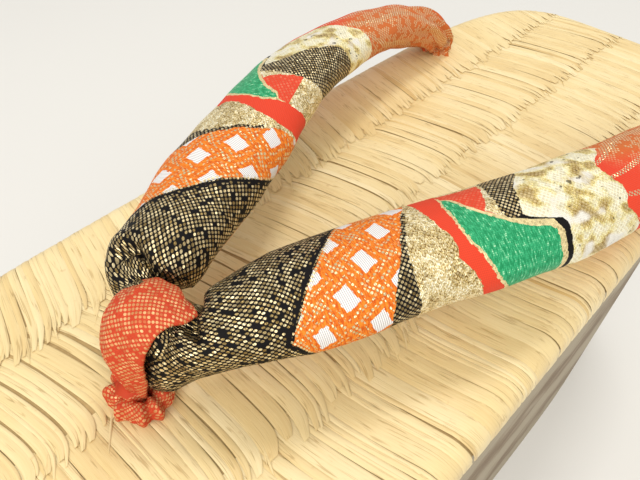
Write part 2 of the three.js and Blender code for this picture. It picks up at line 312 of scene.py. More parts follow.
# Brocade
# The chart of the cloth: v runs along the strap from its front end and u round it, outwards
# from the middle of its top, in millimetres. Each line is an edge between two fields.
STRIPE_START = [(-24, 53), (-12, 51.5), (-8, 50.8)]
PATCH_END = [(1.4, 57.8), (2, 59.6), (2.6, 61.5), (3, 63.4), (3.4, 65.2), (5, 66), (24, 65.6)]
EDGES = [
    # black ground to orange lattice
    [(-24, 46), (-14, 40), (-10, 35.6), (-6, 32.1), (-2, 28.7), (2, 25.3), (6, 22.4), (8, 21),
     (10, 20.2), (12, 22.5), (14, 25), (24, 34)],
    # orange lattice to black wedge
    [(-24, 50), (-12, 46.5), (-8, 45.4), (-6, 44.2), (-4, 42.9), (-2, 42), (0, 40.8), (2, 39.8),
     (4, 38.4), (6, 37.1), (8, 36.1), (10, 35.3), (14, 34.6), (24, 34)],
    # black wedge to gold
    [(-24, 50), (-12, 46.5), (-8, 45.4), (-6, 44.2), (-5, 44.4), (-4, 43.5), (-2, 42.8),
     (0, 41.7), (2, 40.8), (4, 40.3), (6, 40), (10, 39.8), (24, 40)],
    # gold to red stripe
    [(-24, 50.2), (-14, 47.2), (-8, 46.4), (-4, 46.6), (0, 47.4), (2, 48), (4, 48.2), (5.6, 47.6),
     (6.2, 48.2), (8, 49.5), (10, 50.3), (14, 51.5), (24, 53)],
    # red stripe to gold line
    [*STRIPE_START, (-6, 50.4), (-4, 49.8), (2, 49.9), (4, 50.5), (6, 51.5),
     (8, 52.3), (10, 53), (12, 54.5), (24, 60)],
    # gold line to green
    [*STRIPE_START, (-6.4, 50.5), (-6, 50.9), (-4, 50.3), (2, 50.4), (4, 51.1),
     (6, 52.1), (8, 52.9), (10, 53.6), (12, 55.1), (24, 60.5)],
    # green to gold line
    [*STRIPE_START, (-6.4, 50.5), (-5.5, 51.7), (-4.5, 52.1), (-2.5, 53),
     (-0.8, 54.4), (0.7, 56), (2.2, 58), (3.2, 60), (3.9, 62), (4.2, 64), (5, 64.8), (24, 65)],
    # gold line to red patch
    [*STRIPE_START, (-6.4, 51), (-5.5, 52.3), (-4.5, 52.7), (-2.5, 53.7),
     (-0.8, 55.2), (0.7, 57), *PATCH_END],
    # red patch to gold wedge
    [(-24, 53), (-12, 51.5), (-8.6, 50.9), (-8.3, 58.5), (-6, 58), (-4, 57.2), (-2, 56.3),
     (-0.9, 55.4), (0.7, 57), *PATCH_END],
    # gold wedge to black patch
    [(-24, 61), (-12, 60.5), (-8, 59), (-4, 58.2), (0, 57.6), *PATCH_END],
    # black patch to gold and white
    [(-24, 72), (-14, 70), (-10, 67.5), (-8, 66.3), (-6, 64.5), (-4, 62.6), (0, 61.2), (1.5, 60.5),
     (2, 61.2), (2.6, 62.8), (3.2, 65.1), (3.6, 66.8), (4.5, 67.3), (8, 67.0), (24, 66.7)],
    # gold and white to red with gold lines
    [(-24, 84), (-10, 84.5), (-8, 86.5), (-6, 84.5), (-5, 82.5), (-4, 81.2), (-2, 80.6), (0, 81),
     (2, 81.8), (4, 81.5), (5, 80.6), (6, 80.3), (8, 82), (14, 84), (24, 85)],
]
# Edges that run in another way on the left arm, by their places in EDGES
LEFT_EDGES = {
    9: [(-24, 61), (-12, 59.5), (-8, 58.4), (-4, 58.0), (0, 57.6), *PATCH_END],
    10: [(-24, 76), (-10, 75), (-8, 73), (-6, 70), (-4, 66.5), (-2, 64), (0, 61.8), (1.5, 60.5),
         (2, 60.9), (2.6, 62.4), (3.2, 64.6), (3.6, 66.3), (4.5, 66.8), (8, 66.5), (24, 66.2)],
    11: [(-24, 86), (-8, 86), (-5, 84.5), (-2, 83), (1, 81), (3, 74), (6, 71), (12, 70.5),
         (24, 71)],
}
BLACK = (0.003, 0.002, 0.002)
ORANGE = (0.83, 0.20, 0.012)
GOLD = (0.62, 0.45, 0.17)
PALE_GOLD = (0.80, 0.66, 0.34)
RED = (0.68, 0.055, 0.022)
GREEN = (0.02, 0.36, 0.15)
# Ground colour of each field, and how much of its gold dots and of its metal shows
FIELDS = [
    (BLACK, (1.0, 0.0)),
    (ORANGE, (0.0, 0.0)),
    (BLACK, (0.75, 0.0)),
    (GOLD, (0.8, 0.55)),
    (RED, (0.0, 0.0)),
    (PALE_GOLD, (0.5, 0.5)),
    (GREEN, (0.0, 0.1)),
    (PALE_GOLD, (0.5, 0.5)),
    (RED, (0.15, 0.0)),
    (GOLD, (0.8, 0.55)),
    (BLACK, (1.0, 0.0)),
    (GOLD, (0.5, 0.5)),
    (RED, (0.0, 0.0)),
]
# Places in FIELDS of the fields that have a figure of their own
FRONT_BLACK, LATTICE, GOLD_FIELD, GREEN_FIELD = 0, 1, 3, 6
GOLD_WEDGE, BLACK_PATCH, GOLD_AND_WHITE, LAST_RED = 9, 10, 11, 12
# The chart reaches this far to each side of the top's middle, and this far along the strap
CHART_SIDE = 24
CHART_LENGTH = 150
LOZENGE_AT = (34.2, 1.2)
LOZENGE_A = (-4.5, 4.5)
LOZENGE_B = (3.8, 4.9)
LOZENGE_CORNERS = ((1.35, 0.735), (-0.50, 1.59))


def lattice(n, v, u, pitch):
    """The diagonal grid of gold threads: cell centre (v, u), and the place inside the cell."""
    kp, kq = (1 / (each * math.sqrt(2)) for each in pitch)
    p, q = n.mul(n.add(v, u), kp), n.mul(n.sub(v, u), kq)
    fp, fq = n.math("FLOOR", p), n.math("FLOOR", q)
    cp, cq = n.add(fp, 0.5), n.add(fq, 0.5)
    whole, part = n.mul(cp, 0.5 / kp), n.mul(cq, 0.5 / kq)
    return n.add(whole, part), n.sub(whole, part), n.sub(p, cp), n.sub(q, cq), fp, fq


class Cloth(Nodes):
    """Cloth with a dot of gold thread in each cell of a diagonal grid, and its weave."""

    def __init__(self, name, pitch):
        super().__init__(name)
        v, u, _ = self.chart()
        cv, cu, p, q, fp, fq = lattice(self, v, u, pitch)
        self.v, self.u, self.p, self.q = v, u, p, q
        self.chance = self.split(self.white(self.xyz(fp, fq, 3.0))[1])
        self.luck = self.chance[0]
        self.skewed = self.math("POWER", self.luck, 1.25)
        self.cell = self.xyz(cv, cu)
        oval = self.add(self.mul(self.mul(p, p), 0.92), self.mul(self.mul(q, q), 1.15))
        self.dot = self.step(self.math("SQRT", oval), 0.425, 0.32)
        self.threads = self.wave(self.mul(self.sub(v, self.mul(u, 0.15)), 2 * math.pi / 0.30))
        self.across = self.wave(self.mul(u, 2 * math.pi / 0.34))
        self.fuzz = self.noise(self.xyz(v, u), 2.6, 3.0, 0.6)
        self.stroke = self.streaks((v, u), (3.4, 0.9), 2.0, 0.6)
        self.blotch = self.noise(self.cell, 0.85, 1.0)
        self.put("Specular IOR Level", 0.15)


class Brocade(Cloth):
    """Cloth in fields; its ground colour and its dots are built up field by field."""

    def __init__(self, name, pitch, own_edges):
        super().__init__(name, pitch)
        # the fields' edges step along the threads
        stepped = self.add(self.v, self.mul(self.sub(self.luck, 0.5), 0.28))
        self.index = 0.0
        for i, points in enumerate(EDGES):
            past = self.over(stepped, self.edge(own_edges.get(i, points)))
            self.index = self.add(self.index, past)
        count = len(FIELDS)
        at = self.mul(self.add(self.index, 0.5), 1 / count)
        self.ground = self.ramp(at, [(i / count, f[0]) for i, f in enumerate(FIELDS)], True)
        facts = self.ramp(at, [(i / count, (*f[1], 0.0)) for i, f in enumerate(FIELDS)], True)
        self.dots, self.metal, _ = self.split(facts)
        self.to_lattice = self.sub(self.edge(EDGES[0]), self.v)

    def edge(self, points):
        return self.curve(self.u, points, -CHART_SIDE, CHART_SIDE, CHART_LENGTH)

    def field(self, i):
        return self.math("COMPARE", self.index, float(i), 0.1)

    def without(self, value, mask):
        return self.mul(value, self.sub(1.0, mask))

    def tint(self, mask, colour):
        self.ground = self.mix(mask, self.ground, colour)


def black_fields(n):
    """Bare blotches and a bare band along the slanted edge, and a bare side on the patch."""
    bare = n.over(n.blotch, 0.612)
    band = n.under(n.to_lattice, n.range(n.luck, 0, 1, 0.7, 1.7))
    band = n.mul(n.over(n.to_lattice, 0.35), band)
    n.dots = n.without(n.dots, n.mul(n.most(bare, band), n.field(FRONT_BLACK)))
    bare_side = n.over(n.add(n.u, n.mul(n.sub(n.v, 60.0), 0.25)), 1.6)
    n.dots = n.without(n.dots, n.mul(bare_side, n.field(BLACK_PATCH)))


def oblique(n, v, u, first, second):
    """The place (v, u) in steps of two slanted vectors."""
    (ax, ay), (bx, by) = first, second
    det = ax * by - ay * bx
    return (n.add(n.mul(v, by / det), n.mul(u, -bx / det)),
            n.add(n.mul(v, -ay / det), n.mul(u, ax / det)))


def lozenges(n):
    """Lozenges: a white middle in an orange frame, with gold lines between."""
    dv, du = n.sub(n.v, LOZENGE_AT[0]), n.sub(n.u, LOZENGE_AT[1])
    ra, rb = (n.sub(q, n.math("ROUND", q)) for q in oblique(n, dv, du, LOZENGE_A, LOZENGE_B))
    ov, ou = (n.add(n.mul(ra, a), n.mul(rb, b)) for a, b in zip(LOZENGE_A, LOZENGE_B))
    da, db = (n.size(d) for d in oblique(n, ov, ou, *LOZENGE_CORNERS))
    m = n.add(n.add(da, db), n.mul(n.sub(n.luck, 0.5), 0.22))
    here = n.field(LATTICE)
    middle = n.mul(n.under(m, 1.24), here)
    between = n.under(n.size(n.sub(m, 1.98)), 0.19)
    rim = n.under(n.size(n.add(n.to_lattice, 0.3)), 0.40)
    lines = n.mul(n.most(n.most(between, n.over(m, 2.72)), rim), here)
    shade = n.mix(n.step(n.stroke, 0.32, 0.66), (0.54, 0.074, 0.005), (0.83, 0.25, 0.024))
    n.tint(n.mul(here, 0.9), shade)
    satin = n.range(n.threads, -1, 1)
    n.tint(middle, n.mix(satin, (0.52, 0.49, 0.47), (0.90, 0.88, 0.86)))
    n.dots = n.add(n.dots, n.mul(lines, n.step(n.luck, 0.05, 0.2)))
    return here, middle


def gold_fields(n):
    """Strokes of brighter and darker threads, then pale, brown and white places."""
    v, u = n.v, n.u
    flowers_here = n.field(GOLD_AND_WHITE)
    here = n.most(n.field(GOLD_FIELD), n.most(n.field(GOLD_WEDGE), flowers_here))
    mottle = n.noise(n.xyz(v, u), 0.33, 2.0, 0.55)
    crumb = n.streaks((v, u), (4.6, 3.0), 1.0)
    mixed = n.add(n.mul(mottle, 0.34), n.add(n.mul(crumb, 0.56), n.mul(n.luck, 0.10)))
    n.tint(here, n.ramp(mixed, [(0.40, (0.20, 0.115, 0.025)), (0.47, (0.60, 0.42, 0.14)),
                                (0.525, (0.88, 0.75, 0.40)), (0.59, (1.0, 0.96, 0.78))]))
    patch = n.add(n.noise(n.xyz(v, u, 5.0), 0.30, 1.0, 0.45), n.mul(n.sub(crumb, 0.2), 0.22))
    flowers = n.ramp(patch, [(0.43, (0.34, 0.21, 0.04)), (0.50, (0.66, 0.50, 0.14)),
                             (0.55, (0.93, 0.84, 0.42)), (0.63, (0.98, 0.95, 0.74))])
    n.tint(n.mul(flowers_here, 0.85), flowers)
    pale_at = n.noise(n.xyz(n.mul(v, 0.9), n.mul(u, 1.1), 7.0), 0.24, 1.0, 0.4)
    white = n.step(n.add(pale_at, n.mul(n.stroke, 0.14)), 0.61, 0.75)
    white = n.mul(flowers_here, white)
    n.tint(white, n.mix(n.stroke, (0.56, 0.52, 0.44), (0.88, 0.85, 0.76)))
    speck = n.mul(flowers_here, n.step(n.noise(n.xyz(v, u, 2.0), 0.8, 1.0), 0.72, 0.75))
    n.tint(n.mul(speck, 0.8), (0.05, 0.035, 0.015))
    n.dots = n.without(n.dots, n.most(speck, white))
    return here, white


def green_field(n):
    """Green satin threads in darker and lighter strokes, with painted glints: pale streaks that
    stand in for the satin's highlights.
    """
    here = n.field(GREEN_FIELD)
    glow = n.mix(n.step(n.stroke, 0.40, 0.60), (0.012, 0.25, 0.090), (0.045, 0.42, 0.18))
    # painted highlight: pale green streaks where the satin would catch the light
    painted_glint = n.mul(n.step(n.stroke, 0.58, 0.70), n.over(n.across, -0.5))
    n.tint(here, n.mix(painted_glint, glow, (0.50, 0.80, 0.50)))
    return here


def last_red_field(n):
    """Spreading gold lines, on a ground that turns browner and more gilded; the brown on its inner,
    lower side is painted shade.
    """
    here = n.field(LAST_RED)
    spread = n.math("ARCTAN2", n.add(n.u, 1.5), n.add(n.v, -66.0))
    bend = n.mul(n.wave(n.mul(n.v, 0.22)), 1.1)
    drawn = n.mul(n.over(n.wave(n.add(n.mul(spread, 26.0), bend)), 0.80), here)
    inner = n.add(n.step(n.v, 86, 104), n.mul(n.step(n.u, 1.0, -7.0), n.step(n.v, 82, 88)))
    inner = n.mul(n.math("MINIMUM", inner, 1.0), here)
    late = n.mul(inner, n.over(n.noise(n.cell, 0.45, 2.0), 0.47))
    # painted shade: the inner, lower side of the strap's end is tinted brown
    painted_underside_shade = n.mul(inner, n.step(n.add(n.u, n.mul(n.blotch, 8.0)), 9.0, -2.0))
    n.tint(n.mul(inner, 0.8), (0.68, 0.115, 0.025))
    n.tint(n.mul(painted_underside_shade, 0.55), (0.46, 0.17, 0.035))
    n.dots = n.add(n.dots, n.most(drawn, n.mul(late, 0.65)))
    return here


def tucked_edge(n):
    """Orange cloth under the inner edge of the front."""
    tuck = n.mul(n.under(n.u, -14.3), n.under(n.v, 34.0))
    tuck = n.mul(tuck, n.over(n.v, 9.0))
    n.tint(tuck, ORANGE)
    n.dots = n.without(n.dots, n.mul(tuck, 0.75))


def brocade(name, pitch, own_edges):
    n = Brocade(name, pitch, own_edges)
    black_fields(n)
    lattice_here, middle = lozenges(n)
    gold_here, white = gold_fields(n)
    green_here = green_field(n)
    red_here = last_red_field(n)
    tucked_edge(n)
    rich = n.most(n.mul(gold_here, 0.55), n.mul(lattice_here, 0.8))
    rich = n.most(rich, n.mul(red_here, 0.8))
    bright = n.mix(n.most(n.skewed, rich), (0.26, 0.175, 0.06), (0.92, 0.76, 0.44))
    shown = n.mul(n.dot, n.math("MINIMUM", n.dots, 1.0))
    weave = n.range(n.add(n.threads, n.across), -2, 2, 0.84, 1.06)
    n.put("Base Color", n.mix(shown, n.scale(n.ground, weave), bright))
    glint = n.most(n.mul(shown, 0.85), n.without(n.metal, white))
    n.put("Metallic", glint)
    gloss = n.most(glint, n.mul(n.most(green_here, middle), 0.6))
    n.put("Roughness", n.range(gloss, 0, 1, 0.62, 0.24))
    tilt = n.add(n.mul(n.sub(n.chance[1], 0.5), n.p), n.mul(n.sub(n.chance[2], 0.5), n.q))
    relief = n.add(n.mul(shown, 0.8), n.mul(tilt, n.add(0.2, n.mul(glint, 3.4))))
    relief = n.add(relief, n.mul(n.threads, n.range(gloss, 0, 1, 0.08, 0.20)))
    relief = n.add(relief, n.add(n.mul(n.across, 0.06), n.mul(n.fuzz, 0.25)))
    n.put("Normal", n.bump(relief, 0.6, 0.00022))
    return n.material


def red_gold_cloth():
    n = Cloth("red_gold_cloth", (0.56, 0.62))
    shown = n.mul(n.dot, n.sub(1.0, n.over(n.blotch, 0.60)))
    shown = n.mul(shown, n.step(n.luck, 0.02, 0.2, 0.45, 1.0))
    ground = n.mix(n.fuzz, (0.44, 0.032, 0.012), (0.63, 0.085, 0.030))
    gold = n.mix(n.skewed, (0.55, 0.26, 0.09), (0.86, 0.56, 0.26))
    n.put("Base Color", n.mix(n.mul(shown, 0.75), ground, gold))
    n.put("Metallic", n.mul(shown, 0.30))
    n.put("Roughness", n.range(shown, 0.0, 1.0, 0.65, 0.38))
    height = n.add(n.mul(n.dot, 0.6), n.add(n.mul(n.threads, 0.10), n.mul(n.fuzz, 0.35)))
    n.put("Normal", n.bump(height, 0.55, 0.0002))
    return n.material


# Straw, wood, cord, floor
def straw_shader():
    """The layer strip holds each strip's own tone, and -1 to 1 from edge to edge."""
    n = Nodes("split_straw")
    along, across, _ = n.chart()
    tone, edge, _ = n.chart("strip")
    place = (along, across, tone)
    fibre = n.streaks(place, (0.10, 2.6, 40.0), 4.0, 0.6)
    fine = n.streaks(place, (0.25, 9.0, 17.0), 2.0, 0.6)
    broad = n.noise(n.place(), 0.07, 2.0, 0.5)
    base = n.ramp(n.add(n.mul(tone, 0.50), n.add(n.mul(fibre, 0.30), n.mul(broad, 0.30))),
                  [(0.22, (0.52, 0.34, 0.12)), (0.42, (0.68, 0.49, 0.21)),
                   (0.60, (0.76, 0.59, 0.29)), (0.85, (0.83, 0.69, 0.40))])
    split = n.streaks(place, (0.07, 1.5, 31.0), 1.0, 0.4)
    crack = n.step(n.size(n.sub(split, 0.5)), 0.035, 0.008)
    crack = n.mul(crack, n.step(n.streaks((along, across), (0.2, 1.0), 1.0), 0.45, 0.6))
    base = n.mix(n.mul(crack, 0.55), base, (0.40, 0.25, 0.08))
    base = n.mix(n.mul(n.step(fine, 0.58, 0.72), 0.22), base, (0.46, 0.30, 0.11))
    rim = n.step(n.size(edge), 0.86, 1.0)
    base = n.mix(n.mul(rim, n.range(fibre, 0.35, 0.65, 0.0, 0.55)), base, (0.38, 0.24, 0.08))
    spot = n.step(n.noise(n.place(), 0.45, 2.0, 0.6), 0.64, 0.78)
    base = n.mix(n.mul(spot, 0.35), base, (0.50, 0.30, 0.11))
    n.put("Base Color", base)
    n.put("Roughness", n.range(fibre, 0.3, 0.7, 0.38, 0.55))
    n.put("Coat Weight", 0.08)
    n.put("Coat Roughness", 0.35)
    height = n.add(n.add(n.mul(fibre, 0.6), n.mul(fine, 0.4)), n.mul(crack, -0.6))
    n.put("Normal", n.bump(height, 0.35, 0.0002))
    return n.material


def core_shader():
    """Plain pith under the strips."""
    n = Nodes("straw_core")
    grain = n.noise(n.place(), 0.8, 3.0, 0.6)
    n.put("Base Color", n.mix(grain, (0.34, 0.21, 0.07), (0.55, 0.38, 0.16)))
    n.put("Roughness", 0.75)
    n.put("Normal", n.bump(grain, 0.4, 0.0003))
    return n.material


def wood_shader():
    """Pale planed wood with its figure along the grain."""
    n = Nodes("pale_wood")
    place = n.split(n.place())
    x, _, z = place
    sway = n.streaks(place, (0.012, 0.010, 0.015), 1.0)
    depth = n.add(z, n.mul(sway, 22.0))
    band = n.wave(n.add(n.mul(depth, 2 * math.pi / 40.0), n.add(n.mul(x, 0.02), 1.73)))
    blot = n.streaks(place, (0.07, 0.05, 0.10), 4.0, 0.6)
    fleck = n.streaks(place, (1.4, 0.10, 1.6), 3.0, 0.65)
    fine = n.streaks(place, (3.0, 0.04, 4.0), 3.0, 0.6)
    pores = n.step(n.streaks(place, (5.0, 0.12, 6.0), 2.0), 0.60, 0.72)
    lines = n.wave(n.add(n.mul(depth, 2 * math.pi / 3.4), n.mul(blot, 9.0)))
    base = n.mix(fine, (0.28, 0.23, 0.15), (0.41, 0.342, 0.24))
    base = n.mix(n.mul(n.step(lines, 0.1, 1.0), 0.22), base, (0.28, 0.20, 0.11))
    rings = n.add(n.mul(band, 0.16), n.add(blot, n.mul(n.sub(fleck, 0.5), 0.22)))
    brown = n.step(rings, 0.41, 0.72)
    base = n.mix(n.mul(brown, 0.85), base, (0.145, 0.085, 0.035))
    base = n.mix(n.mul(pores, 0.35), base, (0.20, 0.14, 0.08))
    n.put("Base Color", base)
    n.put("Roughness", n.range(fine, 0.3, 0.7, 0.48, 0.62))
    n.put("Specular IOR Level", 0.3)
    height = n.add(n.mul(fine, 0.6), n.mul(brown, -0.5))
    n.put("Normal", n.bump(height, 0.3, 0.0002))
    return n.material


def cord_shader():
    """Two plies round the cord, told by its chart; the grooves between the plies are darkened as
    painted shade.
    """
    n = Nodes("twisted_cord")
    along, around, _ = n.chart()
    ply = n.wave(n.add(n.mul(along, 2 * math.pi / 2.4), n.mul(around, 2 * math.pi / 1.9)))
    fuzz = n.noise(n.place(), 2.5, 3.0, 0.6)
    base = n.mix(fuzz, (0.62, 0.55, 0.42), (0.80, 0.75, 0.64))
    # painted shade: the grooves between the plies are darkened
    n.put("Base Color", n.mix(n.step(ply, -0.4, -1.0), base, (0.30, 0.24, 0.15)))
    n.put("Roughness", 0.8)
    n.put("Normal", n.bump(n.add(ply, n.mul(fuzz, 0.5)), 0.6, 0.0005))
    n.put("Sheen Weight", 0.15)
    return n.material


def floor_shader():
    n = Nodes("pale_floor")
    cloud = n.noise(n.place(), 0.004, 2.0, 0.5)
    n.put("Base Color", n.mix(cloud, (0.70, 0.685, 0.65), (0.72, 0.705, 0.665)))
    n.put("Roughness", 0.85)
    return n.material


BROCADE = brocade("kinran_brocade", (0.56, 0.65), {})
BROCADE_LEFT = brocade("kinran_brocade_left", (0.69, 0.635), LEFT_EDGES)
RED_CLOTH = red_gold_cloth()
STRAW = straw_shader()
CORE = core_shader()
WOOD = wood_shader()
CORD = cord_shader()


# Wooden body
def prism(points, low, high, place=None):
    """A closed prism on the plan's points; place moves its corners, in millimetres."""
    bm = bmesh.new()
    rings = [[bm.verts.new((p[0] * MM, p[1] * MM, z * MM)) for p in points] for z in (low, high)]
    n = len(points)
    for i in range(n):
        j = (i + 1) % n
        bm.faces.new((rings[0][i], rings[0][j], rings[1][j], rings[1][i]))
    bm.faces.new(rings[0][::-1])
    bm.faces.new(rings[1])
    if place:
        for vert in bm.verts:
            x, y, z = place(*(c / MM for c in vert.co))
            vert.co = (x * MM, y * MM, z * MM)
    bmesh.ops.recalc_face_normals(bm, faces=bm.faces)
    mesh = bpy.data.meshes.new("cutter")
    bm.to_mesh(mesh)
    bm.free()
    obj = bpy.data.objects.new("cutter", mesh)
    bpy.context.scene.collection.objects.link(obj)
    return obj


def leaning(x, y, z):
    """The heel leans forward towards the ground."""
    back = max(0.0, (y - WIDEST_Y) / HEEL_REACH)
    return x, y - HEEL_LEAN * back * (1 - z / BLOCK_TOP), z


HOLLOW = {"x": 28.0, "toe": -10.0, "heel": 98.0, "top": 66.0, "taper": 6.0, "corner": 16.0}


def hollow_points():
    h, points = HOLLOW, []
    r, x = h["corner"], h["x"]
    for cx, cy, start in ((x - r, h["heel"] - r, 0), (r - x, h["heel"] - r, 90),
                          (r - x, h["toe"] + r, 180), (x - r, h["toe"] + r, 270)):
        for k in range(13):
            t = math.radians(start + 90 * k / 12)
            points.append((cx + r * math.cos(t), cy + r * math.sin(t)))
    return points


def hollow_taper(x, y, z):
    h = HOLLOW
    middle = (h["toe"] + h["heel"]) / 2
    shrink = h["taper"] * max(0.0, z / h["top"])
    along = 1 - shrink / (h["heel"] - middle)
    return x * (1 - shrink / h["x"] / 2), middle + (y - middle) * along, z


def circle(x, y, r, n=48):
    return [(x + r * math.cos(2 * math.pi * k / n), y + r * math.sin(2 * math.pi * k / n))
            for k in range(n)]


def cut(obj, tool):
    modifier = obj.modifiers.new("cut", "BOOLEAN")
    modifier.operation = "DIFFERENCE"
    modifier.solver = "EXACT"
    modifier.object = tool


def applied(obj):
    bpy.context.view_layer.update()
    graph = bpy.context.evaluated_depsgraph_get()
    mesh = bpy.data.meshes.new_from_object(obj.evaluated_get(graph))
    obj.modifiers.clear()
    old = obj.data
    obj.data = mesh
    bpy.data.meshes.remove(old)


def toe_slope(x, y, z):
    return x, y, z if z < 0 else (SLOPE_Y - y) * SLOPE_RISE / SLOPE_RUN


def wooden_body():
    body = prism(evened(outline(720, 0.8), 260), 0.0, BLOCK_TOP, leaning)
    side, end, above = 120, -200, TOP + 4
    toe = [(-side, SLOPE_Y), (-side, end), (side, end), (side, SLOPE_Y)]
    tools = [
        prism(toe, -20, 400, toe_slope),
        prism(hollow_points(), -1.0, HOLLOW["top"], hollow_taper),
        prism(circle(0, HOLE_Y, FRONT_BORE_R), 0, above),
        prism(circle(0, HOLE_Y, RECESS_R), -10, RECESS_TOP),
    ]
    for side in (1, -1):
        def slanted(x, y, z, side=side):
            return x - side * BORE_SHIFT * (TOP - z) / BORE_DROP, y, z
        bore = circle(side * REAR_HOLE[0], REAR_HOLE[1], REAR_BORE_R)
        tools.append(prism(bore, 62, above, slanted))
    for tool in tools:
        cut(body, tool)
    applied(body)
    for tool in tools:
        bpy.data.objects.remove(tool)
    body.name = "carved_body"
    body.data.materials.clear()
    body.data.materials.append(WOOD)
    bevel = body.modifiers.new("soft_edges", "BEVEL")
    bevel.width = 0.9 * MM
    bevel.segments = 3
    bevel.limit_method = "ANGLE"
    bevel.angle_limit = math.radians(35)
    applied(body)
    body.data.shade_smooth()
    body.data.set_sharp_from_angle(angle=math.radians(32))
    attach(body, "root")
    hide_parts("wood_body")


wooden_body()


# Woven top
RIM_POINTS = evened(outline(4000, 0.0), 1400)
EDGE_TANGENT = unit(np.roll(RIM_POINTS, -1, 0) - np.roll(RIM_POINTS, 1, 0))
EDGE_OUT = np.stack([EDGE_TANGENT[:, 1], -EDGE_TANGENT[:, 0]], 1)
FLAT_EDGE = RIM_POINTS - EDGE_OUT * RIM_R
RIM_WALL = 3.1
WRAP_MAX = RIM_R * math.pi / 2 + RIM_WALL


def wrapped(points, lift):
    """Plan points laid over the top; past its flat part they bend down round the rim."""
    out = np.empty((len(points), 3))
    beyond = np.empty(len(points))
    batch = 4000
    for a in range(0, len(points), batch):
        p = points[a:a + batch]
        near = ((p[:, None, :] - FLAT_EDGE[None]) ** 2).sum(-1).argmin(1)
        normal = EDGE_OUT[near]
        d = ((p - FLAT_EDGE[near]) * normal).sum(1)
        foot = p - normal * d[:, None]
        beyond[a:a + batch] = d
        h = lift[a:a + batch]
        d = np.clip(d, None, WRAP_MAX)
        turn = np.clip(d / RIM_R, 0, math.pi / 2)
        down = np.clip(d - RIM_R * math.pi / 2, 0, None)
        go = np.where(d > 0, (RIM_R + h) * np.sin(turn), d)
        out[a:a + batch, :2] = foot + normal * go[:, None]
        out[a:a + batch, 2] = np.where(
            d > 0, TOP - RIM_R + (RIM_R + h) * np.cos(turn) - down, TOP + h)
    return out, beyond


# Lanes from the left rim to the right: x limits, and how far a strip shifts along the
# sandal (dy/dx) at its left end, in its middle and at its right end.
LANE_WIDTH = 21.5
LANES = [
    (-HALF_WIDTH, -LANE_WIDTH, -0.23, -0.20, -0.55),
    (-LANE_WIDTH, 0.0, 0.42, 0.20, -0.55),
    (0.0, 21.8, 0.05, 0.02, -0.60),
    (21.8, HALF_WIDTH, 0.05, 0.24, 0.30),
]
# Loose splinters at the right seam of each lane but the last
SPLINTERS = (60, 40, 30)
# The strips fill the lanes from minus to plus this y
STRAW_REACH = 134.0
STRIP_WIDTHS = [0.8, 1.2, 1.8, 2.6, 3.6]
WIDTH_ODDS = [0.22, 0.28, 0.24, 0.16, 0.10]
STRIP_COLS = 30
SPLINTER_COLS = 8
# Strips shown on neighbouring lanes take their grain from charts this far apart
CHART_STEP = 70
HOLES = [(0, HOLE_Y, 3.2), (REAR_HOLE[0], REAR_HOLE[1], 3.3), (-REAR_HOLE[0], REAR_HOLE[1], 3.3)]


class Straw:
    """Gathers the strips of the woven top into one mesh."""

    def __init__(self):
        self.points, self.faces, self.chart, self.strip = [], [], [], []
        self.count = 0

    def lay(self, x, line, half, lift, cross, tone, shift):
        """One strip along x, its middle at line and half wide, lifted; cross is its section."""
        c, drop = cross
        cols, rows = len(x), len(c)
        plan = np.stack([np.repeat(x, rows), (line[:, None] + c[None] * half[:, None]).ravel()], 1)
        place, beyond = wrapped(plan, (lift[:, None] + drop[None]).ravel() + 0.12)
        keep = (beyond < WRAP_MAX).reshape(cols, rows)
        if not keep.any():
            return
        quads, spots = grid_faces(cols, rows, flip=True)
        for q, quad in enumerate(quads):
            i, j = q // (rows - 1), q % (rows - 1)
            if not keep[i:i + 2, j:j + 2].any():
                continue
            at = place[quad].mean(0)
            if any(math.hypot(at[0] - hx, at[1] - hy) < hr for hx, hy, hr in HOLES):
                continue
            self.faces.append([self.count + k for k in quad])
            for r, k in spots[4 * q:4 * q + 4]:
                self.chart.append((x[r] + shift[0], c[k] * half[r] + shift[1]))
                self.strip.append((tone, c[k]))
        self.points.append(place)
        self.count += len(place)

    def finish(self, name):
        points = np.vstack(self.points)
        used = np.unique(np.array(self.faces))
        index = np.full(len(points), -1)
        index[used] = np.arange(len(used))
        faces = index[np.array(self.faces)].tolist()
        obj = piece(name, points[used], faces, STRAW, self.chart)
        layer = obj.data.uv_layers.new(name="strip")
        layer.data.foreach_set("uv", np.asarray(self.strip, np.float32).ravel())
        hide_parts("woven_top")


def straw_tone():
    """A strip's own brightness; one in twenty is dark."""
    if rng.random() < 0.05:
        return rng.uniform(0.05, 0.25)
    return float(np.clip(rng.normal(0.62, 0.14), 0.05, 1.0))


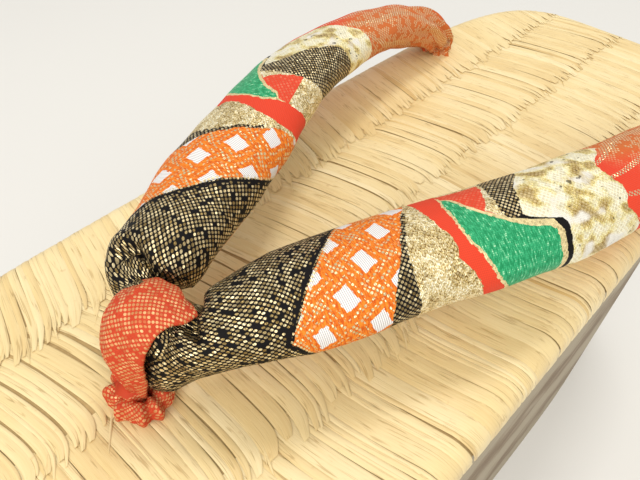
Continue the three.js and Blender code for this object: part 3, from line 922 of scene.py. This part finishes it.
def lay_strip(straw, lane, y, width):
    """One strip of a lane; its ends bend and pass under or over the next lanes' strips."""
    x0, x1, left, middle, right = LANES[lane]
    first, last = lane == 0, lane == len(LANES) - 1
    start = x0 - (WRAP_MAX + 1.0 if first else rng.uniform(2.6, 4.6))
    tail = WRAP_MAX + 1.0 if last else rng.uniform(-0.4, 2.4)
    x = np.linspace(start, x1 + tail, STRIP_COLS)
    t = (x - x0) / (x1 - x0)
    near_left = np.exp(-np.clip(t, 0, None) * LANE_WIDTH / 5.0)
    near_right = np.exp(-np.clip(1 - t, 0, None) * LANE_WIDTH / 2.6)
    slope = middle + (left - middle) * near_left + (right - middle) * near_right
    shift = np.concatenate([[0], np.cumsum((slope[1:] + slope[:-1]) / 2 * np.diff(x))])
    wander = rng.normal(0, 0.008) * (x - x0)
    wander += 0.10 * np.sin(x * rng.uniform(0.1, 0.3) + y)
    # towards the heel the strips lie flatter and closer
    calm = np.interp(y, (-60, 40), (1.0, 0.45))
    half = np.full_like(x, width / 2 + 0.05 + 0.16 * (1 - calm))
    part = np.sin(x * rng.uniform(0.12, 0.5) + rng.uniform(0, 6.3))
    half -= calm * rng.uniform(0.0, 0.10) * ease((part + 0.1) / 1.1)
    lift = np.full_like(x, calm * rng.normal(0, 0.02))
    if not last:
        end = np.clip((x - (x1 - 3.0)) / (tail + 3.0), 0, 1)
        half *= 1 - 0.55 * end ** 1.6
        lift += 0.10 * end
    if not first:
        lift -= 0.20 * ease((x0 + 2.4 - x) / 2.4)
    c = np.array([-1.0, -0.8, 0.0, 0.8, 1.0])
    drop = np.array([-0.11, -0.02, 0.02, -0.02, -0.11]) + rng.normal(0, 0.02) * c
    drop *= calm
    line = y + width / 2
    tone = straw_tone() if width < 1.6 else max(straw_tone(), 0.45)
    straw.lay(x, line + shift + wander, half, lift, (c, drop), tone, (lane * CHART_STEP, line))


def lay_splinter(straw, lane):
    """A loose splinter where the strips of one lane end on the next."""
    length, wide = rng.uniform(2.0, 6.0), rng.uniform(0.12, 0.34)
    x = LANES[lane][1] - rng.uniform(0.5, 3.0) + np.linspace(0, length, SPLINTER_COLS)
    slope = -rng.uniform(0.25, 0.85)
    bend = rng.uniform(-0.06, 0.02) * (x - x[0]) ** 2
    line = rng.uniform(-125, 122) + slope * (x - x[0]) + bend
    half = wide * np.sin(np.linspace(0.5, math.pi - 0.12, SPLINTER_COLS))
    arch = np.sin(np.linspace(0, math.pi, SPLINTER_COLS))
    lift = 0.05 + 0.07 * arch * rng.uniform(0.2, 1.3)
    section = (np.array([-1.0, 0.0, 1.0]), np.array([-0.07, 0.03, -0.07]))
    tone = straw_tone() * 0.9
    straw.lay(x, line, half, lift, section, tone, (lane * CHART_STEP, line[0]))


def woven_strips():
    straw = Straw()
    for lane in range(len(LANES)):
        y = -STRAW_REACH + rng.uniform(0, 2)
        while y < STRAW_REACH:
            width = rng.choice(STRIP_WIDTHS, p=WIDTH_ODDS)
            width *= rng.uniform(0.85, 1.2)
            lay_strip(straw, lane, y, width)
            y += width
        if lane < len(SPLINTERS):
            for _ in range(SPLINTERS[lane]):
                lay_splinter(straw, lane)
    straw.finish("woven_strips")


def woven_core():
    """The mat's body under the strips, as rings of (inset, z)."""
    n, steps = 220, 8
    rings = [(9.0, 92.05), (1.6, 92.05), (0.7, 93.0), (0.35, 95.3)]
    for k in range(1, steps + 1):
        a = math.pi / 2 * k / steps
        rings.append((0.35 + (RIM_R - 0.3) * (1 - math.cos(a)), 95.5 + (RIM_R - 0.2) * math.sin(a)))
    rings += [(9.0, 99.85), (24.0, 99.85), (38.0, 99.85)]
    points = []
    for inset, z in rings:
        ring = evened(outline(2000, inset), n)
        points.append(np.column_stack([ring, np.full(n, z)]))
    faces, _ = grid_faces(len(rings), n, closed=True)
    faces += caps(len(rings), n)
    core = piece("woven_core", np.vstack(points), faces, CORE)
    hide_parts("woven_top")


woven_strips()
woven_core()

# Padded strap
# One row for each section of an arm: x, y back from the front hole, z above the top, half the
# width, half the thickness, and the lean of the outer edge in degrees.
SECTIONS = np.array([
    (1.6, 5.6, 12.0, 0.8, 1.0, -35), (2.0, 5.6, 12.0, 3.4, 6.9, -35),
    (4.0, 6.2, 13.0, 4.0, 6.6, -33), (6.0, 7.8, 13.8, 4.6, 5.1, -24),
    (8.0, 10.4, 15.3, 5.5, 4.9, -6), (10.0, 14.9, 16.8, 7.0, 5.2, 6),
    (12.4, 21.6, 17.1, 8.6, 5.8, 6), (16.5, 31.2, 17.5, 9.4, 5.9, 3), (20.8, 41.8, 18, 9.3, 5.8, 3),
    (25.7, 53, 18.1, 9.2, 5.7, 7), (30.6, 66, 17.7, 9.1, 5.6, 14), (34.5, 82, 16.2, 8.8, 5.4, 15),
    (36.5, 96, 14.4, 8.5, 5.2, 15), (36.9, 107.5, 11.8, 8, 5.1, 12), (36.3, 117, 8.6, 7.1, 4.8, 8),
    (35.1, 122.6, 5.4, 6, 4.4, 0), (34.2, 124.8, 2.6, 4.5, 4, 0), (33.7, 125, 0.2, 3.6, 3.6, 0),
    (32.5, 125, -2.5, 3.5, 3.5, 0), (29.4, 125, -10, 3.4, 3.4, 0)], float)
# The left arm starts further back, over so many rows
SETBACK = 3.0
SETBACK_ROWS = 6
# The chart's length at the front end of the right and of the left arm
CHART_START = {1: 1.7, -1: 1.0}
# Lengths along the left arm, and the chart's own lengths that show there
LEFT_CHART = ([0, 7.5, 24, 39.5, 46.3, 50, 60.3, 84, 150],
              [0, 10, 28.6, 41.5, 47, 50, 58.3, 82, 148])
# Half sizes of a usual section, for lengths round the arm
GIRTH = (9.2, 5.8)


def through(rows, steps):
    """A smooth line through the rows, centripetal, with its row places."""
    line, places = [], []
    last = len(rows) - 2
    for i in range(len(rows) - 1):
        p1, p2 = rows[i], rows[i + 1]
        p0 = rows[i - 1] if i > 0 else 2 * p1 - p2
        p3 = rows[i + 2] if i < last else 2 * p2 - p1
        d0, d1, d2 = (max(np.linalg.norm(b - a) ** 0.5, 1e-4) for a, b in
                      ((p0, p1), (p1, p2), (p2, p3)))
        m1 = ((p1 - p0) / d0 - (p2 - p0) / (d0 + d1) + (p2 - p1) / d1) * d1
        m2 = ((p2 - p1) / d1 - (p3 - p1) / (d1 + d2) + (p3 - p2) / d2) * d1
        for k in range(steps + (i == last)):
            t = k / steps
            line.append(p1 + m1 * t + (-3 * p1 + 3 * p2 - 2 * m1 - m2) * t * t
                        + (2 * p1 - 2 * p2 + m1 + m2) * t ** 3)
            places.append(i + t)
    return np.array(line), np.array(places)


def arm_frame(side, lengths):
    """Centre, outward, upward and half sizes of the arm's sections at the given lengths."""
    centre = np.column_stack([SECTIONS[:, 0], HOLE_Y + SECTIONS[:, 1], TOP + SECTIONS[:, 2]])
    line, rows = through(centre, 40)
    if side < 0:
        line[:, 1] += SETBACK * np.clip(1 - rows / SETBACK_ROWS, 0, None)
        line[:, 0] -= 1.2 * np.clip(1 - rows / 4, 0, None) + 0.9 * bell(rows - 4.8, 1.2)
    s = arc_length(line)
    along = unit(np.gradient(line, axis=0))
    out = np.cross(along, (0, 0, 1.0))
    steep = np.linalg.norm(out, axis=1) < 0.5
    out[steep] = np.array([1.0, 0, 0]) - along[steep] * along[steep][:, :1]
    out = unit(out)
    up = np.cross(out, along)
    wide, thick, lean = (np.interp(rows, np.arange(len(SECTIONS)), SECTIONS[:, k])
                         for k in (3, 4, 5))
    if side < 0:
        wide = wide + 1.3 * bell(rows - 4.5, 0.9)
        thick = thick + 0.7 * bell(rows - 4.5, 1.0)
    lean = np.radians(lean)[:, None]
    out, up = (out * np.cos(lean) + np.cross(along, out) * np.sin(lean),
               up * np.cos(lean) + np.cross(along, up) * np.sin(lean))

    def at(values):
        return np.stack([np.interp(lengths, s, values[:, k]) for k in range(values.shape[1])], 1)

    return at(line), at(out), at(up), at(np.column_stack([wide, thick])), s[-1]


AROUND = 96


def arm_surface(side, lengths):
    """Points of the arm's skin by (length, round), with u measured from the top's middle."""
    centre, out, up, half, _ = arm_frame(side, lengths)
    # the round parameter starts at the seam under the strap and goes over the inner edge
    turn = np.linspace(-math.pi / 2, -math.pi / 2 - 2 * math.pi, AROUND + 1)
    c, s = np.cos(turn), np.sin(turn)
    steps = np.hypot(np.diff(GIRTH[0] * c), np.diff(GIRTH[1] * s))
    ring = np.cumsum(np.concatenate([[0], steps]))
    u = ring - ring[-1] / 2
    points = (centre[:, None] + out[:, None] * (half[:, None, 0:1] * c[None, :, None])
              + up[:, None] * (half[:, None, 1:2] * s[None, :, None]))
    normal = (out[:, None] * (c / half[:, 0:1])[..., None]
              + up[:, None] * (s / half[:, 1:2])[..., None])
    return points, unit(normal), u


def right_crease(V, U):
    """A deep crease across the right arm just past the loop, with soft swellings beside it."""
    crease = V - (9.9 - 0.42 * np.clip(U + 2.5, 0, 3.5))
    fade = ease((8.0 - U) / 4.0) * ease((U + 12.0) / 4.0)
    return fade * (-2.3 * bell(crease, 0.70) + 0.15 * bell(crease + 3.0, 2.0)
                   + 0.35 * bell(crease - 2.4, 1.6))


def left_fold(V, U):
    """A fold over the left arm's front, which sinks towards the loop in front of it."""
    fold = V - (10.6 + 0.45 * np.clip(U, -8, 2) - 0.35 * np.clip(U - 3, 0, 10))
    on_top = ease((10.0 - U) / 4.0) * ease((U + 17.0) / 4.0)
    relief = 1.3 * bell(fold - 0.2, 3.2) * bell(U - 11.0, 4.0)
    relief += on_top * (-1.0 * ease(-fold / 0.7) + 0.5 * bell(fold - 1.3, 1.3)
                        - 1.5 * bell(fold + 0.5, 0.5))
    return relief - 1.2 * np.exp(-(V / 5.0) ** 4 - (U / 10.0) ** 4)


def arm_relief(side, v, u):
    """How far the padded cloth stands out or dips, in millimetres."""
    V, U = np.meshgrid(v, u, indexing="ij")
    swell = 0.22 * smooth_noise(5 + side, V / 9, U / 7)
    swell = swell + 0.10 * smooth_noise(8 + side, V / 3.5, U / 3)
    seam = -0.7 * bell(abs(U) - abs(u).max(), 0.8)
    gather = ease((V - 104) / 22)
    pleats = gather * (0.55 * np.sin(U * 2 * math.pi / 6.3 + V * 0.16 + side)
                       + 0.35 * np.sin(U * 2 * math.pi / 3.7 - V * 0.1))
    front = right_crease(V, U) if side > 0 else left_fold(V, U)
    return swell * ease(V / 10) + seam + pleats + front


def strap_arm(side):
    """One padded arm, right for 1 and left for -1."""
    length = arm_frame(side, np.zeros(1))[4]
    v = np.concatenate([np.arange(0, 16, 0.3), np.arange(16, length, 0.62), [length]])
    points, normal, u = arm_surface(side, v)
    grow = np.clip(v / 3, 0, 1)[:, None, None]
    points = points + normal * arm_relief(side, v, u)[..., None] * grow
    if side < 0:
        points[..., 0] *= -1
    rows, cols = len(v), AROUND
    faces, spots = grid_faces(rows, cols, closed=True, flip=side > 0)
    chart_v, shift = v + CHART_START[side], np.zeros_like(v)
    if side < 0:
        chart_v, shift = np.interp(chart_v, *LEFT_CHART), -1.8 * ease((v - 40) / 10)
    chart = [(chart_v[i], u[j] + shift[i]) for i, j in spots]
    for row, back in ((0, side > 0), (rows - 1, side < 0)):
        ring = [row * cols + k for k in range(cols)]
        faces.append(ring if back else ring[::-1])
        chart.extend([(chart_v[row], 0.0)] * cols)
    name = "strap_right" if side > 0 else "strap_left"
    cloth = BROCADE if side > 0 else BROCADE_LEFT
    arm = piece(name, points[:, :cols].reshape(-1, 3), faces, cloth, chart)
    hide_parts("thong_strap")


strap_arm(1)
strap_arm(-1)

# Half sizes of the round padding where the arms meet
JUNCTION = (7.6, 4.9, 6.8)
LOOP_CENTRE = np.array([0.0, HOLE_Y + 6.2, TOP + 14.2])


def strap_junction():
    """Padding inside the loop, where the two arms meet."""
    rows, cols = 40, 64
    a = np.linspace(-math.pi / 2, math.pi / 2, rows)
    b = np.linspace(0, 2 * math.pi, cols, endpoint=False)
    A, B = np.meshgrid(a, b, indexing="ij")
    dent = 1 + 0.03 * smooth_noise(3, A * 3, B * 3)
    points = np.stack([JUNCTION[0] * np.cos(A) * np.cos(B) * dent,
                       JUNCTION[1] * np.cos(A) * np.sin(B) * dent,
                       JUNCTION[2] * np.sin(A)], -1) + LOOP_CENTRE
    points = points.reshape(-1, 3)
    faces, spots = grid_faces(rows, cols, closed=True)
    chart = [(3 + 6 * math.sin(a[i]), 6.5 * b[j % cols] - 20) for i, j in spots]
    core = piece("strap_junction", points, faces, BROCADE, chart)
    bm = bmesh.new()
    bm.from_mesh(core.data)
    bmesh.ops.remove_doubles(bm, verts=bm.verts, dist=1e-6)
    bm.to_mesh(core.data)
    bm.free()
    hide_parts("thong_strap")


strap_junction()


# Front loop and ruffle
# The loop's line from the hole up its front, over the strap and down behind it: y back from the
# hole, z above the top, half widths to the left and the right, and how far each edge turns in.
LOOP_LINE = np.array([
    (0.8, 0.8, 1.9, 2.0, 0.8, 0.8), (-0.6, 4.6, 2.7, 3.3, 1.0, 1.3), (-1.5, 9.2, 3.5, 4.7, 1.3, 1.9),
    (-1.7, 13.4, 4.2, 5.4, 1.8, 2.2), (-0.9, 17.6, 4.6, 5.7, 2.6, 2.0),
    (1.8, 21.0, 4.7, 5.9, 3.2, 1.8), (5.2, 22.2, 4.7, 6.2, 3.4, 1.6),
    (8.4, 21.5, 4.8, 7.1, 3.2, 1.2), (10.3, 20.1, 4.6, 6.9, 2.2, 0.5),
    (11.2, 17.4, 2.8, 3.2, 0.8, 0.6), (11.8, 14.0, 1.7, 1.7, 0.2, 0.2),
    (11.2, 9.8, 1.7, 1.7, 0.2, 0.2), (8.4, 6.4, 2.0, 2.0, 0.3, 0.3),
    (4.6, 4.0, 2.1, 2.1, 0.5, 0.5), (2.4, 1.4, 1.8, 1.8, 0.5, 0.5)],
    float)
LOOP_THICK = 0.9


def red_loop():
    """A folded ribbon with a puffed skin and turned-in edges."""
    wide, each = 32, 12
    line, rows = through(LOOP_LINE[:, :2], each)
    left, right, in_left, in_right = (np.interp(rows, np.arange(len(LOOP_LINE)), LOOP_LINE[:, k])
                                      for k in (2, 3, 4, 5))
    steps = len(line)
    along = unit(np.gradient(line, axis=0))
    inward = np.stack([along[:, 1], -along[:, 0]], 1)
    arc = arc_length(line)
    s = np.linspace(-1, 1, wide)
    x = np.where(s[None] < 0, s[None] * left[:, None], s[None] * right[:, None])
    A, S = np.meshgrid(arc, s, indexing="ij")
    puff = np.where(s[None] < 0, in_left[:, None], in_right[:, None]) * abs(s[None]) ** 2.2
    puff = puff - 0.30 * smooth_noise(21, A / 5.0, S * 2.2)
    puff = puff - 0.12 * smooth_noise(22, A / 1.6, S * 5)
    puff = puff + 0.35 * bell(A - 4.0, 3.0) * np.cos(S * 9.0 + A * 0.3)
    skins = []
    for depth in (0.0, LOOP_THICK):
        sink = puff + depth * (1 - 0.6 * abs(s[None]) ** 6)
        skins.append(np.stack([x, line[:, 0:1] + inward[:, 0:1] * sink + HOLE_Y,
                               line[:, 1:2] + inward[:, 1:2] * sink + TOP], -1).reshape(-1, 3))
    faces, chart = [], []
    second = steps * wide

    def face(quad, spot, flip):
        faces.append(quad[::-1] if flip else quad)
        chart.extend(spot[::-1] if flip else spot)

    for i in range(steps - 1):
        for j in range(wide - 1):
            quad = [i * wide + j, i * wide + j + 1, (i + 1) * wide + j + 1, (i + 1) * wide + j]
            spot = [(arc[i], x[i, j]), (arc[i], x[i, j + 1]),
                    (arc[i + 1], x[i + 1, j + 1]), (arc[i + 1], x[i + 1, j])]
            face(quad, spot, False)
            face([second + q for q in quad], spot, True)
        for j, flip in ((0, True), (wide - 1, False)):
            quad = [i * wide + j, second + i * wide + j,
                    second + (i + 1) * wide + j, (i + 1) * wide + j]
            face(quad, [(arc[i], x[i, j])] * 2 + [(arc[i + 1], x[i + 1, j])] * 2, flip)
    for i, flip in ((0, False), (steps - 1, True)):
        for j in range(wide - 1):
            quad = [i * wide + j, second + i * wide + j,
                    second + i * wide + j + 1, i * wide + j + 1]
            face(quad, [(arc[i], x[i, j])] * 2 + [(arc[i], x[i, j + 1])] * 2, flip)
    loop = piece("red_loop", np.vstack(skins), faces, RED_CLOTH, chart)
    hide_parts("front_loop")


def loop_stem():
    """The pleated cloth that goes down into the front hole."""
    rows, cols = 30, 36
    z = np.linspace(-12, 5.0, rows)
    turn = np.linspace(0, 2 * math.pi, cols, endpoint=False)
    Z, A = np.meshgrid(z, turn, indexing="ij")
    pleat = 1 + 0.07 * np.sin(A * 7 + Z * 0.15)
    points = np.stack([np.cos(A) * 2.2 * pleat, np.sin(A) * 2.4 * pleat, Z], -1)
    points = points.reshape(-1, 3) + np.array([0, HOLE_Y, TOP])
    faces, spots = grid_faces(rows, cols, closed=True)
    chart = [(z[i], turn[1] * j * 2.8) for i, j in spots]
    faces += caps(rows, cols)
    chart += [(0.0, 0.0)] * (2 * cols)
    stem = piece("loop_stem", points, faces, RED_CLOTH, chart)
    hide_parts("front_loop")


def ruffle():
    """The crumpled collar round the foot of the loop."""
    rows, cols = 44, 220
    a = np.linspace(0, 2 * math.pi, rows, endpoint=False)
    b = np.linspace(0, 2 * math.pi, cols, endpoint=False)
    A, B = np.meshgrid(a, b, indexing="ij")
    folds = np.cos(9 * B + 0.9 * np.sin(2 * B)) + 0.6 * np.cos(14 * B + 1.0)
    radius = 3.6 + 0.25 * np.cos(3 * B + 0.6)
    thick = 1.55 + 0.16 * folds + 0.2 * smooth_noise(31, A * 1.5, np.cos(B) * 3, np.sin(B) * 3)
    tall = 2.1 + 0.22 * folds
    R = radius + thick * np.cos(A) + 0.25 * folds * np.clip(np.cos(A), 0, 1)
    R = R + 0.10 * np.sin(A * 5 + 4 * np.sin(B * 3))
    Z = 2.3 + tall * np.sin(A) + 0.22 * folds * np.cos(A)
    Z = np.maximum(Z, 0.30)
    points = np.stack([np.cos(B) * R, np.sin(B) * R, Z], -1).reshape(-1, 3)
    points += np.array([0.6, HOLE_Y + 1.0, TOP])
    faces, chart = [], []
    for i in range(rows):
        for j in range(cols):
            i2, j2 = (i + 1) % rows, (j + 1) % cols
            faces.append([i * cols + j, i * cols + j2, i2 * cols + j2, i2 * cols + j])
            for p, q in ((i, j), (i, j + 1), (i + 1, j + 1), (i + 1, j)):
                chart.append((q * 2 * math.pi / cols * 4.6, p * 2 * math.pi / rows * 1.9))
    collar = piece("loop_collar", points, faces, RED_CLOTH, chart)
    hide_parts("loop_ruffle")


red_loop()
loop_stem()
ruffle()


# Knots under the block
CORD_SIDES = 20


def tube(line, radius, name, node):
    """Twisted cord of the given radius along the line."""
    n, sides = len(line), CORD_SIDES
    along = unit(np.gradient(line, axis=0))
    ref = np.cross(along[0], (0.3, 0.5, 0.81))
    ref /= np.linalg.norm(ref)
    points, chart = [], []
    turn = np.linspace(0, 2 * math.pi, sides, endpoint=False)
    s = arc_length(line)
    for i in range(n):
        ref = ref - along[i] * ref.dot(along[i])
        ref /= np.linalg.norm(ref)
        side = np.cross(along[i], ref)
        ply = 1 + 0.10 * np.cos(3 * (turn + s[i] * 0.9))
        points.append(line[i] + (np.cos(turn)[:, None] * ref + np.sin(turn)[:, None] * side)
                      * (radius * ply)[:, None])
    faces, spots = grid_faces(n, sides, closed=True)
    chart = [(s[i], turn[1] * j * radius) for i, j in spots]
    faces += caps(n, sides)
    chart += [(0.0, 0.0)] * (2 * sides)
    obj = piece(name, np.vstack(points), faces, CORD, chart)
    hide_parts(node)


def knot(name, node, ball, seat, top, lean, ceiling):
    """A knot of twisted cord in a ball of the given radius, and its cord up into the bore."""
    t = np.linspace(-0.35, 2 * math.pi * 0.985 - 0.35, 150)
    size = ball / 4.15
    x = (np.sin(t) + 2 * np.sin(2 * t)) * size
    y = (np.cos(t) - 2 * np.cos(2 * t)) * size
    z = -np.sin(3 * t) * size * 1.25
    line = np.column_stack([x, y, z]) * 0.93
    centre = np.array([seat[0], seat[1], ceiling - math.sqrt((ball + 0.3) ** 2 - seat[2] ** 2)])
    tube(line + centre, ball * 0.27, name, node)
    rise = np.linspace(-ball * 0.5, top, 30)
    stand = rise[:, None] * (0.0, 0.0, 1.0) + centre
    stand[:, 0] += lean * np.clip(stand[:, 2] - ceiling, 0, None)
    tube(stand, 2.3, name + "_tail", node)


knot("cord_knot_front", "front_knot", 7.5, (0, HOLE_Y, FRONT_BORE_R), 19.0, 0.0, RECESS_TOP)
for side, label in ((1, "right"), (-1, "left")):
    seat = (side * (REAR_HOLE[0] - BORE_SHIFT), REAR_HOLE[1], REAR_BORE_R)
    knot("cord_knot_" + label, "rear_knot_" + label, 6.0, seat, 17.0,
         side * BORE_SHIFT / BORE_DROP, HOLLOW["top"])


# Floor, lights, camera
floor_mesh = bpy.data.meshes.new("floor")
floor_mesh.from_pydata([(-3, -3, 0), (3, -3, 0), (3, 3, 0), (-3, 3, 0)], [], [(0, 1, 2, 3)])
floor_mesh.materials.append(floor_shader())
floor = bpy.data.objects.new("floor", floor_mesh)
bpy.context.scene.collection.objects.link(floor)


def softbox(name, place, aim, size, power, colour):
    """A square area light at a place in metres, turned to its aim."""
    light = bpy.data.lights.new(name, "AREA")
    light.shape = "SQUARE"
    light.size = size
    light.energy = power
    light.color = colour
    obj = bpy.data.objects.new(name, light)
    obj.location = place
    obj.rotation_euler = (Vector(aim) - Vector(place)).to_track_quat("-Z", "Y").to_euler()
    bpy.context.scene.collection.objects.link(obj)


softbox("window", (-0.10, 0.34, 1.02), (0, 0, 0.09), 0.20, 2.9, (1.0, 0.99, 0.97))
softbox("fill", (0.42, -0.72, 0.80), (0, 0, 0.05), 0.9, 9.6, (1.0, 0.98, 0.94))
world = bpy.data.worlds.new("studio")
world.use_nodes = True
background = world.node_tree.nodes["Background"]
background.inputs["Color"].default_value = (1.0, 0.99, 0.97, 1.0)
background.inputs["Strength"].default_value = 0.72
bpy.context.scene.world = world
bpy.context.scene.view_settings.view_transform = "Standard"

# The camera fitted to the photo, its place in metres
FOCAL_PX = 590.0
IMAGE_WIDTH = 640.0
SENSOR = 36.0
CAMERA_AT = (0.0513857, -0.0701296, 0.1857292)
camera = bpy.data.cameras.new("camera")
camera.sensor_width = SENSOR
camera.lens = FOCAL_PX / IMAGE_WIDTH * SENSOR
camera.clip_start = 0.005
camera.clip_end = 20.0
eye = bpy.data.objects.new("camera", camera)
RIGHT = Vector((0.71779194, 0.69593005, 0.02135611))
DOWN = Vector((0.51484574, -0.50987015, -0.68917798))
FORWARD = Vector((-0.46873083, 0.50568151, -0.72427731))
turned = Matrix((RIGHT, -DOWN, -FORWARD)).transposed().to_4x4()
eye.matrix_world = Matrix.Translation(CAMERA_AT) @ turned
bpy.context.scene.collection.objects.link(eye)
bpy.context.scene.camera = eye
